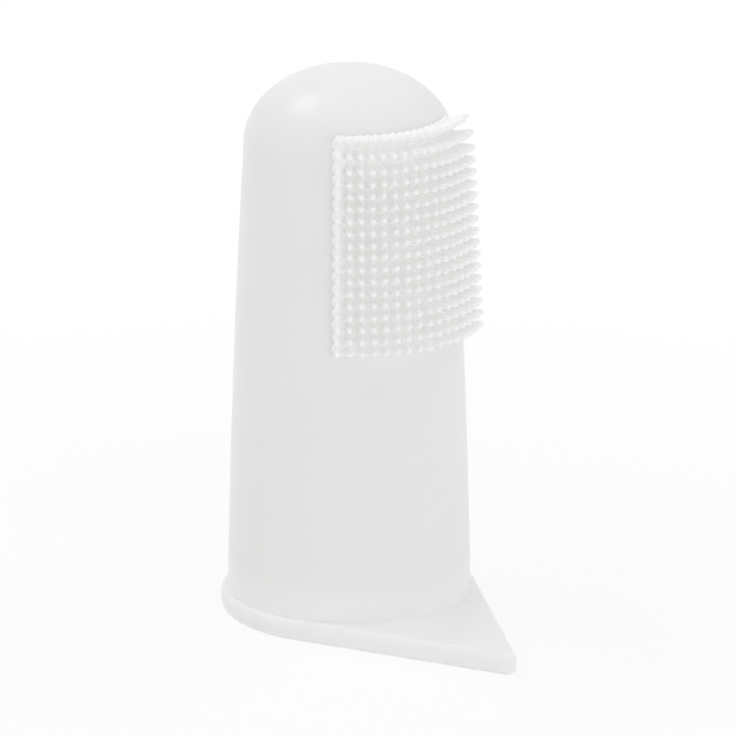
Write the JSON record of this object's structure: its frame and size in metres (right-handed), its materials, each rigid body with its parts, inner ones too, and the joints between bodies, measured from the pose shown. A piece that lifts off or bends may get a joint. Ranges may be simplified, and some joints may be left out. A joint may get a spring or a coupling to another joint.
{
  "type": "finger toothbrush",
  "caption": "Soft silicone finger toothbrush: a tapered thimble with a domed tip, a field of short moulded bristles on one side and a flat mouth flange drawn out into a pull tab.",
  "frame": {"origin": "on the finger axis, at the underside of the flange, which is the mouth the finger enters", "axes": "+Z along the finger axis from the mouth to the crown of the dome; -Y towards the pull tab and the bristles; the object is symmetric about X = 0"},
  "size_m": [0.0232, 0.0356, 0.0501],
  "materials": {
    "shell_silicone": "satin, milky white, slightly translucent",
    "bristle_silicone": "satin, milky white, slightly translucent"
  },
  "bodies": {
    "root": {"finger_sleeve": "shell_silicone", "domed_tip": "shell_silicone", "base_flange": "shell_silicone", "pull_tab": "shell_silicone", "bristle_strip_1": "bristle_silicone", "bristle_strip_2": "bristle_silicone", "bristle_strip_3": "bristle_silicone", "bristle_strip_4": "bristle_silicone", "bristle_strip_5": "bristle_silicone"}
  },
  "joints": []
}
